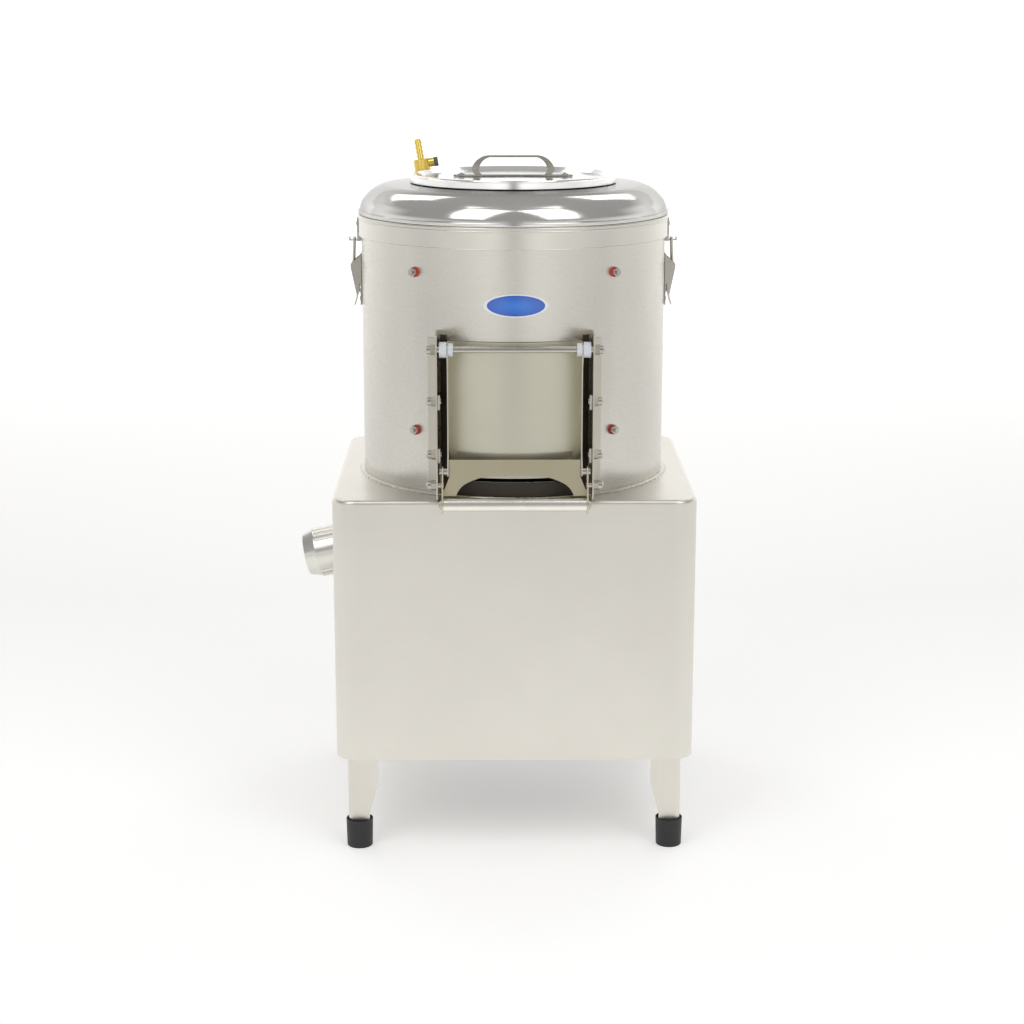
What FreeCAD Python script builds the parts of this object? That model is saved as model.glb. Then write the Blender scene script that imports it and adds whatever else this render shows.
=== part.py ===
import FreeCAD, Part

import math
import os

import Sketcher

# A floor-standing abrasive peeling machine: an open-bottomed sheet-metal base on four legs carries a round
# drum with a spinning abrasive disc, a lift-off cap on a domed lid, and a swinging discharge door.
#
# Frame: +Z up, the front faces -Y, and the origin is under the middle of the whole machine on the floor.
# Every sub-part is drawn about the drum's axis with its zero height on the top face of the base, and its
# Placement carries it from there into the frame.

doc = FreeCAD.newDocument("PeelingMachine")
V = FreeCAD.Vector
X_AXIS, Y_AXIS, Z_AXIS = V(1, 0, 0), V(0, 1, 0), V(0, 0, 1)

# ---------------------------------------------------------------- driving dimensions (mm and degrees)

DRIVING = (
    ("axis_x", 16.5, "drum axis, right of the middle of the machine"),
    ("axis_y", 4.5, "drum axis, behind the middle of the machine"),
    ("base_top", 455, "top face of the base above the floor"),
    ("base_width", 450, "base, side to side"),
    ("base_depth", 410, "base, front to back"),
    ("base_height", 334, "base, top to bottom edge"),
    ("base_corner", 28, "radius of the base's upright corners"),
    ("base_edge", 5, "radius of the base's top edge"),
    ("sheet", 1.5, "sheet steel of the base, lid and door"),
    ("frame_bar", 55, "width of the flat bars of the bottom frame"),
    ("leg_inset", 14.3, "leg behind the base's side and front"),
    ("leg_wide", 38, "leg flange at the top"),
    ("leg_narrow", 27, "leg front flange in the foot"),
    ("leg_shallow", 15, "leg side flange in the foot"),
    ("leg_sheet", 2.5, "leg thickness"),
    ("foot_rim", 17, "outer radius of a rubber foot"),
    ("foot_height", 36, "height of a rubber foot"),
    ("drum_r", 194, "outer radius of the drum"),
    ("drum_wall", 2, "drum wall"),
    ("drum_height", 329, "drum wall above the base"),
    ("skirt_low", 304, "lower edge of the lid's skirt"),
    ("skirt_high", 331, "upper edge of the lid's skirt"),
    ("skirt_r", 197.3, "outer radius of the lid's skirt"),
    ("dome_r", 197, "widest radius of the lid's dome"),
    ("dome_top", 370, "height of the dome's flat top"),
    ("mouth_r", 118, "radius of the loading mouth"),
    ("cap_r", 131.5, "radius of the loading cap"),
    ("cap_rim", 10, "height of the loading cap's rim"),
    ("liner_r", 187.7, "inner radius of the abrasive liner"),
    ("disc_r", 184, "radius of the abrasive disc"),
    ("bolt_angle", 38.5, "liner bolts, either side of the front and back"),
    ("bolt_low", 78.5, "lower row of liner bolts"),
    ("bolt_high", 273.5, "upper row of liner bolts"),
    ("opening_half", 74, "half width of the discharge opening"),
    ("opening_low", 21, "sill of the discharge opening"),
    ("opening_high", 172, "head of the discharge opening"),
    ("cheek_x", 93.5, "inner face of a side cheek from the middle"),
    ("cheek_sheet", 2, "cheek thickness"),
    ("cheek_front", 220, "front edge of the cheeks from the drum axis"),
    ("cheek_low", 3.3, "lower edge of the cheeks"),
    ("cheek_high", 205, "upper edge of the cheeks"),
    ("rod_r", 4, "radius of the door's hinge rod"),
    ("rod_y", 208.5, "hinge rod in front of the drum axis"),
    ("rod_z", 186.8, "hinge rod above the base"),
    ("door_half", 80.5, "half width of the door between its flanges"),
    ("door_r", 197.9, "outer radius of the curved door"),
    ("door_low", 24.5, "lower edge of the door"),
    ("door_high", 193.5, "upper edge of the door"),
    ("recess_r", 190, "outer radius of the door's lower recess"),
    ("recess_half", 72, "half width of the recess"),
    ("recess_top", 58, "top of the recess"),
    ("lock_y", 209, "lock pivot in front of the drum axis"),
    ("lock_z", 37.8, "lock pivot above the base"),
    ("lock_tilt", 13.9, "lean of the lock plate, its top towards the drum"),
    ("arm_x", 87, "inner face of a lock arm from the middle"),
    ("arm_sheet", 1.8, "lock arm thickness"),
    ("bar_r", 8, "radius of the handle bar"),
    ("catch_y", 212, "catch pins in front of the drum axis"),
    ("catch_z", 21.5, "catch pins above the base"),
    ("spindle_r", 12.5, "radius of the spindle"),
    ("fit", 0.05, "radial running clearance"),
    ("pulley_big", 90, "radius of the spindle pulley"),
    ("pulley_small", 32, "radius of the motor pulley"),
    ("pulley_low", 165, "underside of the pulleys below the base's top"),
    ("pulley_thick", 24, "thickness of both pulleys"),
    ("motor_x", 100, "motor axis, right of the drum axis"),
    ("motor_y", 105, "motor axis, behind the drum axis"),
    ("motor_r", 60, "radius of the motor's body"),
    ("pipe_r", 25, "outer radius of the drain pipe"),
    ("pipe_wall", 2, "wall of the drain pipe"),
    ("drain_x", 110, "upright part of the drain, left of the drum axis"),
    ("drain_fall", 12.3, "slope of the drain towards its outlet"),
    ("drain_z", 109, "drain below the base's top where it leaves the side"),
    ("pan_r", 150, "radius of the sump pan"),
    ("pan_deep", 45, "depth of the sump pan below the base's top"),
    ("inlet_x", 116.5, "water inlet, left of the drum axis"),
    ("inlet_y", 97, "water inlet, behind the drum axis"),
    ("inlet_lean", 10, "lean of the water inlet to the left"),
    ("latch_z", 268, "latch pivot above the base's top"),
    ("latch_r", 200, "latch pivot from the drum axis"),
    ("crank", 4.6, "bail pivot out from and below the latch pivot"),
    ("panel_y", 98, "middle of the control panel behind the drum axis"),
    ("panel_z", 122, "middle of the control panel below the base's top"),
    ("button_r", 11, "radius of a push button"),
    ("knob_r", 18, "radius of the timer knob"),
)

sheet = doc.addObject("Spreadsheet::Sheet", "Sizes")
for row, (alias, value, meaning) in enumerate(DRIVING, start=1):
    sheet.set(f"A{row}", alias)
    sheet.set(f"B{row}", str(value))
    sheet.set(f"C{row}", meaning)
    sheet.setAlias(f"B{row}", alias)
doc.recompute()


class Size:
    """A length worked out from the spreadsheet: its value now, and the expression that keeps it bound."""

    def __init__(self, value, text):
        self.value = value
        self.text = text

    def _with(self, other, sign, value):
        return Size(value, f"({self.text} {sign} {text_of(other)})")

    def __add__(self, other):
        return self._with(other, "+", self.value + number(other))

    def __sub__(self, other):
        return self._with(other, "-", self.value - number(other))

    def __mul__(self, other):
        return self._with(other, "*", self.value * number(other))

    def __truediv__(self, other):
        return self._with(other, "/", self.value / number(other))

    def __radd__(self, other):
        return Size(number(other), text_of(other)) + self

    def __rsub__(self, other):
        return Size(number(other), text_of(other)) - self

    def __rmul__(self, other):
        return Size(number(other), text_of(other)) * self

    def __neg__(self):
        return self * -1


def number(size):
    return size.value if isinstance(size, Size) else float(size)


def text_of(size):
    return size.text if isinstance(size, Size) else f"({float(size):.6f})"


class Sizes:
    """d.base_width is the spreadsheet's base_width, as a Size."""

    def __init__(self, rows):
        for alias, value, _ in rows:
            setattr(self, alias, Size(float(value), f"Sizes.{alias}"))


d = Sizes(DRIVING)

# ---------------------------------------------------------------- drawing helpers


def bind(thing, prop, size):
    """Set a property to a Size's value and keep it bound to the spreadsheet."""
    if isinstance(size, Size):
        thing.setExpression(prop, size.text)
    elif prop.startswith("Placement.Base."):
        base = V(thing.Placement.Base)
        setattr(base, prop[-1], float(size))
        thing.Placement = FreeCAD.Placement(base, thing.Placement.Rotation)
    else:
        setattr(thing, prop, size)


def put(thing, x=0, y=0, z=0, rotation=None):
    """Place an object's origin, with an optional turn about it."""
    thing.Placement = FreeCAD.Placement(V(number(x), number(y), number(z)), rotation or FreeCAD.Rotation())
    for prop, size in (("x", x), ("y", y), ("z", z)):
        if isinstance(size, Size):
            thing.setExpression(f"Placement.Base.{prop}", size.text)
    return thing


def box(x0, x1, y0, y1, z0, z1):
    """A block between two corners."""
    block = doc.addObject("Part::Box", "Block")
    for prop, low, high in (("Length", x0, x1), ("Width", y0, y1), ("Height", z0, z1)):
        bind(block, prop, high - low)
    return put(block, x0, y0, z0)


def turn_to(axis):
    """The rotation that carries +Z onto an axis."""
    return FreeCAD.Rotation(Z_AXIS, axis)


def rod(radius, length, x=0, y=0, z=0, axis=Z_AXIS):
    """A round bar that starts at a point and runs along an axis."""
    bar = doc.addObject("Part::Cylinder", "Bar")
    bind(bar, "Radius", radius)
    bind(bar, "Height", length)
    return put(bar, x, y, z, turn_to(axis))


def cone(low_r, high_r, length, x=0, y=0, z=0, axis=Z_AXIS):
    taper = doc.addObject("Part::Cone", "Taper")
    bind(taper, "Radius1", low_r)
    bind(taper, "Radius2", high_r)
    bind(taper, "Height", length)
    return put(taper, x, y, z, turn_to(axis))


def ball(radius, x=0, y=0, z=0):
    sphere = doc.addObject("Part::Sphere", "Ball")
    bind(sphere, "Radius", radius)
    return put(sphere, x, y, z)


def hexagon(across_corners, length, x=0, y=0, z=0, axis=Z_AXIS):
    prism = doc.addObject("Part::Prism", "Hexagon")
    prism.Polygon = 6
    bind(prism, "Circumradius", across_corners)
    bind(prism, "Height", length)
    return put(prism, x, y, z, turn_to(axis))


def cut(base, *tools):
    result = doc.addObject("Part::Cut", "Cut")
    result.Base = base
    result.Tool = tools[0] if len(tools) == 1 else fuse(*tools)
    return result


def fuse(*shapes):
    result = doc.addObject("Part::MultiFuse", "Fusion")
    result.Shapes = list(shapes)
    return result


def common(first, second):
    result = doc.addObject("Part::MultiCommon", "Common")
    result.Shapes = [first, second]
    return result


def group(*shapes):
    """Separate solids that share one node."""
    result = doc.addObject("Part::Compound", "Group")
    result.Links = list(shapes)
    return result


def turned(shape, degrees, axis=Z_AXIS):
    """The shape turned about an axis through the origin."""
    return put(group(shape), rotation=FreeCAD.Rotation(axis, degrees))


def ring(outer, inner, low, high, x=0, y=0):
    """An upright tube between two heights."""
    return cut(rod(outer, high - low, x, y, low), rod(inner, high - low + 2, x, y, low - 1))


def tube(outer, inner, length, x=0, y=0, z=0, axis=Z_AXIS):
    """A tube along any axis."""
    return cut(rod(outer, length, x, y, z, axis), rod(inner, length, x, y, z, axis))


def new_body():
    return doc.addObject("PartDesign::Body", "Body")


def outline(body, plane, points, arcs=None):
    """A closed sketch on one of the body's origin planes, every corner bound to the spreadsheet.

    arcs gives, for the side that leaves a numbered point, its radius and which way it bulges: +1 to the
    left of the direction of travel, -1 to the right. Every other side is straight.
    """
    arcs = arcs or {}
    sketch = body.newObject("Sketcher::SketchObject", "Outline")
    base = [f for f in body.Origin.OriginFeatures if f.Role == plane][0]
    sketch.AttachmentSupport = [(base, "")]
    sketch.MapMode = "FlatFace"
    corners = [V(number(u), number(v), 0) for u, v in points]
    ends = []
    for i, start in enumerate(corners):
        end = corners[(i + 1) % len(corners)]
        if i in arcs:
            radius, side = number(arcs[i][0]), arcs[i][1]
            half = (end - start) / 2
            across = V(-half.y, half.x, 0)
            across.normalize()
            sagitta = radius - math.sqrt(max(radius**2 - half.Length**2, 0))
            middle = start + half + across * (sagitta * side)
            turning = (end, middle, start) if side > 0 else (start, middle, end)
            geo = sketch.addGeometry(Part.Arc(*turning))
            ends.append((geo, 2, 1) if side > 0 else (geo, 1, 2))
        else:
            geo = sketch.addGeometry(Part.LineSegment(start, end))
            ends.append((geo, 1, 2))
    for i, (geo, first, last) in enumerate(ends):
        after, after_first, _ = ends[(i + 1) % len(ends)]
        sketch.addConstraint(Sketcher.Constraint("Coincident", geo, last, after, after_first))
        for kind, size in zip(("DistanceX", "DistanceY"), points[i]):
            made = sketch.addConstraint(Sketcher.Constraint(kind, -1, 1, geo, first, number(size)))
            if isinstance(size, Size):
                sketch.setExpression(f"Constraints[{made}]", size.text)
        if i in arcs:
            made = sketch.addConstraint(Sketcher.Constraint("Radius", geo, number(arcs[i][0])))
            if isinstance(arcs[i][0], Size):
                sketch.setExpression(f"Constraints[{made}]", arcs[i][0].text)
    return sketch


def revolved(points, arcs=None):
    """A body of revolution about Z: the outline's points are radius and height."""
    body = new_body()
    sketch = outline(body, "XZ_Plane", points, arcs)
    turn = body.newObject("PartDesign::Revolution", "Turn")
    turn.Profile = sketch
    turn.ReferenceAxis = (sketch, ["V_Axis"])
    turn.Angle = 360
    body.Tip = turn
    return body


def pad(body, plane, points, start, thickness, arcs=None):
    """Add a slab to a body: an outline, from a place along the plane's own world axis, so thick along it.

    The XY outline is (x, y), the XZ outline (x, z) and the YZ outline (y, z).
    """
    sketch = outline(body, plane, points, arcs)
    offset = -(start + thickness) if plane == "XZ_Plane" else start
    sketch.AttachmentOffset = FreeCAD.Placement(V(0, 0, number(offset)), FreeCAD.Rotation())
    if isinstance(offset, Size):
        sketch.setExpression("AttachmentOffset.Base.z", offset.text)
    slab = body.newObject("PartDesign::Pad", "Slab")
    slab.Profile = sketch
    bind(slab, "Length", thickness)
    body.Tip = slab
    return body


def plate(plane, points, start, thickness, arcs=None):
    """A body of one slab."""
    return pad(new_body(), plane, points, start, thickness, arcs)


def rounded(body, radius, choose):
    """Round the edges of the body's last feature that choose() picks."""
    doc.recompute()
    last = body.Tip
    names = [f"Edge{i}" for i, edge in enumerate(last.Shape.Edges, start=1) if choose(edge)]
    fillet = body.newObject("PartDesign::Fillet", "Round")
    fillet.Base = (last, names)
    bind(fillet, "Radius", radius)
    body.Tip = fillet
    return body


def upright(edge):
    return len(edge.Vertexes) == 2 and abs(edge.tangentAt(edge.FirstParameter).z) > 0.999


nodes = {}


def node(name, shape):
    """Name a finished sub-part and carry it from the drum's axis into the machine's frame."""
    if not shape.Placement.isIdentity():
        shape = group(shape)
    shape.Label = name
    put(shape, d.axis_x, d.axis_y, d.base_top)
    nodes[name] = shape


# ---------------------------------------------------------------- base, frame, legs and feet

half_w, half_d = d.base_width / 2, d.base_depth / 2
SIDES = (("left", -1), ("right", 1))
wall = d.sheet
drain_cos = math.cos(math.radians(number(d.drain_fall)))
drain_sin = math.sin(math.radians(number(d.drain_fall)))
drain_dir = V(-drain_cos, 0, -drain_sin)
GLAND_X, GLAND_Z = 120, -280


def rectangle(half_x, half_y):
    return ((-half_x, -half_y), (half_x, -half_y), (half_x, half_y), (-half_x, half_y))


def rounded_block(half_x, half_y, bottom, top, corner, edge):
    """A block with round upright corners and a softly rounded top edge."""
    block = plate("XY_Plane", rectangle(half_x, half_y), bottom, top - bottom)
    rounded(block, corner, upright)
    return rounded(block, edge, lambda e: e.BoundBox.ZMin > number(top) - 0.01)


def hollow_base():
    """The folded housing, open underneath, with holes for the pan, drain, controls and cable."""
    outside = rounded_block(half_w, half_d, -d.base_height, 0, d.base_corner, d.base_edge)
    inside = rounded_block(
        half_w - wall, half_d - wall, -d.base_height - 5, -wall, d.base_corner - wall, d.base_edge - wall
    )
    return cut(
        outside,
        inside,
        rod(d.pan_r + 4, 40, z=-20),
        along_drain(d.pipe_r + 2, -30, 60),
        box(half_w - 10, half_w + 10, d.panel_y - 48, d.panel_y + 48, -d.panel_z - 48, -d.panel_z + 48),
        rod(8.2, 20, GLAND_X, half_d - 10, GLAND_Z, Y_AXIS),
    )


def along_drain(radius, start, length):
    """A round bar on the drain's sloping axis; start is measured outwards from the side of the base."""
    return rod(
        radius, length, -half_w - start * drain_cos, 0, -d.drain_z - start * drain_sin, drain_dir
    )


def sheets(shell):
    """The housing's folded top, four walls and four round corners, which are welded edge to edge."""
    x, y, fold = half_w - d.base_corner, half_d - d.base_corner, -d.base_edge
    low, far = -d.base_height - 1, half_w + 2
    blocks = [box(-far, far, -far, far, fold, 1)]
    for start, end in ((-far, -x), (x, far)):
        blocks.append(box(start, end, -y, y, low, fold))
        blocks.append(box(start, end, -far, -y, low, fold))
        blocks.append(box(start, end, y, far, low, fold))
    blocks.append(box(-x, x, -far, -y, low, fold))
    blocks.append(box(-x, x, y, far, low, fold))
    return group(*[common(shell, block) for block in blocks])


node("base_housing", sheets(hollow_base()))

inner_w, inner_d = half_w - wall - 0.2, half_d - wall - 0.2
FRAME_THICK = 3
base_low = -d.base_height
frame_ring = cut(
    rounded(
        plate("XY_Plane", rectangle(inner_w, inner_d), base_low, FRAME_THICK), d.base_corner - wall, upright
    ),
    box(
        -inner_w + d.frame_bar, inner_w - d.frame_bar, -inner_d + d.frame_bar, inner_d - d.frame_bar,
        base_low - 1, base_low + 9,
    ),
)
node("bottom_frame", frame_ring)

LEG_FOLD = 6
FOOT_FLOOR = 4


def leg(side, end):
    """An upright angle that narrows into its foot: a front flange and a side flange with a rounded fold."""
    bend, knee = base_low - 38, base_low - 78
    foot = -d.base_top + FOOT_FLOOR
    corner_x, corner_y = side * (half_w - d.leg_inset), end * (half_d - d.leg_inset)

    def flange(corner, inward, narrow):
        wide_edge, narrow_edge = corner + d.leg_wide * inward, corner + narrow * inward
        return (
            (corner, foot), (narrow_edge, foot), (narrow_edge, knee),
            (wide_edge, bend), (wide_edge, base_low), (corner, base_low),
        )

    near_y = corner_y if end < 0 else corner_y - d.leg_sheet
    near_x = corner_x if side < 0 else corner_x - d.leg_sheet
    body = plate("XZ_Plane", flange(corner_x, -side, d.leg_narrow), near_y, d.leg_sheet)
    pad(body, "YZ_Plane", flange(corner_y, -end, d.leg_shallow), near_x, d.leg_sheet)
    x, y = number(corner_x), number(corner_y)

    def at_fold(edge):
        start = edge.Vertexes[0]
        return upright(edge) and math.hypot(start.X - x, start.Y - y) < 0.1

    return rounded(body, LEG_FOLD, at_fold)


legs, feet = [], []
for end in (-1, 1):
    for _, side in SIDES:
        legs.append(leg(side, end))
        foot_x = side * (half_w - d.leg_inset - d.leg_narrow / 2)
        foot_y = end * (half_d - d.leg_inset - d.leg_shallow / 2)
        cup = revolved(
            (
                (0, 0), (d.foot_rim - 1.5, 0), (d.foot_rim - 0.8, 1), (d.foot_rim, d.foot_height),
                (d.foot_rim - 1.4, d.foot_height), (d.foot_rim - 1.4, FOOT_FLOOR), (0, FOOT_FLOOR),
            )
        )
        feet.append(put(cup, foot_x, foot_y, -d.base_top))
node("legs", group(*legs))
node("rubber_feet", group(*feet))

# ---------------------------------------------------------------- drum and its liner

SEAL_THICK = 2
RING_HIGH = 3
CHEEK_BOLTS = ((185, 120), (185, 54))
BOLT_R = 3
bolt_heights = (d.bolt_low, d.bolt_high)
bolt_angles = [base + turn for base in (-90, 90) for turn in (-number(d.bolt_angle), number(d.bolt_angle))]


def bolt_places():
    """Direction and height of each liner bolt."""
    for angle in bolt_angles:
        for height in bolt_heights:
            yield V(math.cos(math.radians(angle)), math.sin(math.radians(angle)), 0), height


def radial(shape_of, start, height, way):
    """A shape that starts at a distance from the drum's axis and points outwards."""
    return shape_of(x=start * way.x, y=start * way.y, z=height, axis=way)


def radial_rods(radius, start, length):
    return [radial(lambda **at: rod(radius, length, **at), start, z, way) for way, z in bolt_places()]


def front_box(half_x, low_z, high_z, depth=230):
    """A block in front of the drum's axis, for cutting or keeping what faces the front."""
    return box(-half_x, half_x, -depth, -100, low_z, high_z)


liner_out = d.drum_r - d.drum_wall - 0.3
tabs = [
    box(side * (d.cheek_x - 1.45) - 1.25, side * (d.cheek_x - 1.45) + 1.25, -y - 10, -168.5, z - 9, z + 9)
    for _, side in SIDES
    for y, z in CHEEK_BOLTS
]
drum = cut(
    fuse(
        ring(d.drum_r, d.drum_r - d.drum_wall, 0, d.drum_height),
        ring(d.drum_r - d.drum_wall + 0.5, d.pan_r + 18, 0, d.drum_wall),
        *tabs,
    ),
    front_box(d.opening_half, d.opening_low, d.opening_high),
    *radial_rods(BOLT_R + 0.2, d.drum_r - 8, 16),
    *[rod(BOLT_R + 0.2, 260, -130, -y, z, X_AXIS) for y, z in CHEEK_BOLTS],
)
node("drum_shell", drum)
node(
    "drum_base_ring",
    rounded(
        revolved(
            (
                (d.drum_r + 0.1, 0), (d.drum_r + 5, 0), (d.drum_r + 5, RING_HIGH),
                (d.drum_r + 0.1, RING_HIGH),
            )
        ),
        1.2,
        lambda e: e.BoundBox.ZMin > RING_HIGH - 0.01 and e.BoundBox.XMax > number(d.drum_r) + 4,
    ),
)
node(
    "abrasive_liner",
    cut(
        ring(liner_out, d.liner_r, 24, 300),
        front_box(d.opening_half + 2, 0, d.opening_high + 4),
        *radial_rods(BOLT_R + 0.2, d.liner_r - 4, 16),
    ),
)
HEAD_HIGH, NUT_HIGH, WASHER_HIGH, SHANK_LONG = 3, 4.5, 2.5, 17
bolts, nuts, washers = [], [], []
for way, z in bolt_places():
    shank = radial(lambda **at: rod(BOLT_R, SHANK_LONG, **at), d.liner_r - 1, z, way)
    head = radial(lambda **at: cone(4, 6.2, HEAD_HIGH, **at), d.liner_r - HEAD_HIGH - 0.1, z, way)
    bolts.append(fuse(shank, head))
    at_nut = d.drum_r + WASHER_HIGH + 0.1
    nut = radial(lambda **at: hexagon(5.6, NUT_HIGH, **at), at_nut, z, way)
    nuts.append(cut(nut, radial(lambda **at: rod(BOLT_R + 0.02, 12, **at), at_nut - 2, z, way)))
    washer = radial(lambda **at: rod(6.2, WASHER_HIGH, **at), d.drum_r + 0.05, z, way)
    washers.append(cut(washer, radial(lambda **at: rod(BOLT_R + 0.02, 9, **at), d.drum_r - 2, z, way)))
node("liner_bolts", group(*bolts))
node("liner_nuts", group(*nuts))
node("liner_sealing_washers", group(*washers))

BADGE_X, BADGE_Z = 1.3, 237.6
badge_outline = doc.addObject("Part::Ellipse", "Oval")
badge_outline.MajorRadius, badge_outline.MinorRadius = 39, 14
put(badge_outline, BADGE_X, -230, BADGE_Z, FreeCAD.Rotation(X_AXIS, 90))
badge_block = doc.addObject("Part::Extrusion", "OvalBlock")
badge_block.Base = badge_outline
badge_block.DirMode = "Custom"
badge_block.Dir = V(0, 1, 0)
badge_block.LengthFwd = 80
badge_block.Solid = True
node("badge_plate", common(ring(d.drum_r + 0.75, d.drum_r + 0.05, BADGE_Z - 20, BADGE_Z + 20), badge_block))

# ---------------------------------------------------------------- spindle, disc, pan, drain and drive

PAN_FLANGE = 3.6
pan_in = d.pan_r - wall
HUB_R = 30
pan = cut(
    revolved(
        (
            (HUB_R, -d.pan_deep - wall), (d.pan_r, -d.pan_deep - wall), (d.pan_r, PAN_FLANGE - wall),
            (liner_out, PAN_FLANGE - wall), (liner_out, PAN_FLANGE), (pan_in, PAN_FLANGE),
            (pan_in, -d.pan_deep), (HUB_R, -d.pan_deep),
        )
    ),
    rod(d.pipe_r - d.pipe_wall, 20, -d.drain_x, 0, -d.pan_deep - 10),
)
node("sump_pan", pan)

DRAIN_BEND = 32
bend_angle = 90 - number(d.drain_fall)
bend_run = DRAIN_BEND * math.tan(math.radians(bend_angle) / 2)
corner_z = -d.drain_z + (half_w - d.drain_x) * (drain_sin / drain_cos)
PIPE_OUT = 40
drain_top, bend_z = -d.pan_deep - wall - 0.1, corner_z + bend_run
slope_start = (half_w - d.drain_x) / drain_cos - bend_run


def elbow(radius):
    """A quarter-turn pipe bend, less the drain's slope, standing in the XZ plane."""
    bend = doc.addObject("Part::Torus", "Elbow")
    bind(bend, "Radius1", DRAIN_BEND)
    bind(bend, "Radius2", radius)
    bend.Angle3 = bend_angle
    return put(bend, -d.drain_x - DRAIN_BEND, 0, bend_z, FreeCAD.Rotation(X_AXIS, -90))


pipe_in = d.pipe_r - d.pipe_wall
outlet = cut(
    along_drain(d.pipe_r, -slope_start, slope_start + PIPE_OUT),
    along_drain(pipe_in, -slope_start - 5, slope_start + PIPE_OUT + 10),
)
node(
    "drain_pipe",
    group(
        tube(d.pipe_r, pipe_in, drain_top - bend_z, -d.drain_x, 0, bend_z),
        cut(elbow(d.pipe_r), elbow(pipe_in)),
        outlet,
    ),
)

GRIP_R, TIP_R, GRIP_LONG, SPOUT_LONG, RIB_R = 31.8, 27.1, 34, 49.4, 1.5
grip = revolved(
    (
        (d.pipe_r + 0.05, -8), (GRIP_R, -8), (GRIP_R, GRIP_LONG), (TIP_R + 0.6, SPOUT_LONG - 1),
        (TIP_R - 0.4, SPOUT_LONG), (d.pipe_r + 0.05, SPOUT_LONG),
    )
)
ribs = []
RIB_PITCH = 12
for bank in (0, 120, 240):
    for step in range(4):
        angle = math.radians(bank + (step - 1.5) * RIB_PITCH + 210)
        ribs.append(rod(RIB_R, GRIP_LONG + 6, GRIP_R * math.cos(angle), GRIP_R * math.sin(angle), -7))
coupling = fuse(grip, *ribs)
put(coupling, -half_w, 0, -d.drain_z, turn_to(drain_dir))
node("spout_coupling", cut(coupling, box(-half_w - 0.1, 0, -60, 60, -200, 0)))

DISC_LOW, DISC_THICK, WAVE_R = 8, 10, 7
disc = fuse(
    rounded(revolved(((0, DISC_LOW), (d.disc_r, DISC_LOW), (d.disc_r, DISC_LOW + DISC_THICK),
                      (0, DISC_LOW + DISC_THICK))), 3, lambda e: e.BoundBox.XMax > number(d.disc_r) - 1),
    common(
        group(*[
            turned(rod(WAVE_R, d.disc_r * 2, -d.disc_r, 0, DISC_LOW + DISC_THICK - 2, X_AXIS), angle)
            for angle in (0, 60, 120)
        ]),
        rod(d.disc_r - 8, 60, z=DISC_LOW + 2),
    ),
    cone(34, 22, 14, z=DISC_LOW + DISC_THICK - 1),
)
shaft_top = DISC_LOW + DISC_THICK + 18
node("abrasive_disc", cut(disc, rod(d.spindle_r + 0.02, 60, z=0)))
shaft_low = -d.pulley_low - 8
node(
    "drive_spindle",
    fuse(
        rod(d.spindle_r, shaft_top - shaft_low, z=shaft_low),
        hexagon(16, 9, z=DISC_LOW + DISC_THICK + 13.2),
    ),
)
BEARING_R, BEARING_HIGH = 26, 15
housing_top = -d.pan_deep - wall - 0.1
housing_low = housing_top - 72
bearing_in = d.spindle_r + d.fit
flange_holes = [math.radians(45 + 90 * i) for i in range(4)]
node(
    "bearing_housing",
    cut(
        fuse(
            ring(36, BEARING_R + 0.02, housing_low, housing_top),
            ring(60, BEARING_R + 0.02, housing_top - 7, housing_top),
        ),
        *[rod(4.2, 20, 50 * math.cos(a), 50 * math.sin(a), housing_top - 14) for a in flange_holes],
    ),
)
bearing_lows = (housing_low + 4, housing_top - 26)
node(
    "spindle_bearings",
    group(*[
        rounded(
            revolved(
                (
                    (bearing_in, z), (BEARING_R, z), (BEARING_R, z + BEARING_HIGH),
                    (bearing_in, z + BEARING_HIGH),
                )
            ),
            1,
            lambda e: e.BoundBox.XMax > BEARING_R - 0.1 and not upright(e),
        )
        for z in bearing_lows
    ]),
)
node("shaft_seal", ring(BEARING_R - 0.1, bearing_in, housing_top - 9, housing_top + 6))

pulley_z = -d.pulley_low


def grooved(radius, bore):
    """A V-belt pulley about Z: a rim with a groove, a web and a hub."""
    top, groove = pulley_z + d.pulley_thick, 9
    middle = pulley_z + d.pulley_thick / 2
    return revolved(
        (
            (bore, pulley_z), (radius, pulley_z), (radius, middle - 7), (radius - groove, middle - 3),
            (radius - groove, middle + 3), (radius, middle + 7), (radius, top), (bore, top),
        )
    )


node(
    "spindle_pulley",
    cut(
        grooved(d.pulley_big, d.spindle_r + 0.02),
        *[rod(14, 60, 48 * math.cos(a), 48 * math.sin(a), pulley_z - 10) for a in
          [math.radians(60 * i) for i in range(6)]],
    ),
)
MOTOR_SHAFT_R = 9
node("motor_pulley", put(grooved(d.pulley_small, MOTOR_SHAFT_R + 0.02), d.motor_x, d.motor_y))
MOTOR_TOP, MOTOR_LOW, MOUNT_HIGH = -181.05, -318, 5
FINS = 24
fins = [
    turned(box(-1.2, 1.2, d.motor_r - 4, d.motor_r, MOTOR_LOW + 22, MOTOR_TOP - 22), 360 * i / FINS)
    for i in range(FINS)
]
motor = fuse(
    rod(d.motor_r - 3, MOTOR_TOP - MOTOR_LOW - 14, z=MOTOR_LOW + 8),
    rod(d.motor_r, 14, z=MOTOR_TOP - 20),
    rod(d.motor_r, 14, z=MOTOR_LOW + 8),
    cone(d.motor_r - 18, d.motor_r - 2, 8, z=MOTOR_LOW),
    box(-60, 60, -60, 60, MOTOR_TOP - 6, MOTOR_TOP),
    box(d.motor_r - 12, d.motor_r + 14, -26, 26, -290, -225),
    *fins,
)
node("motor", put(cut(motor, rod(MOTOR_SHAFT_R + 0.1, 60, z=MOTOR_TOP - 40)), d.motor_x, d.motor_y))
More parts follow.
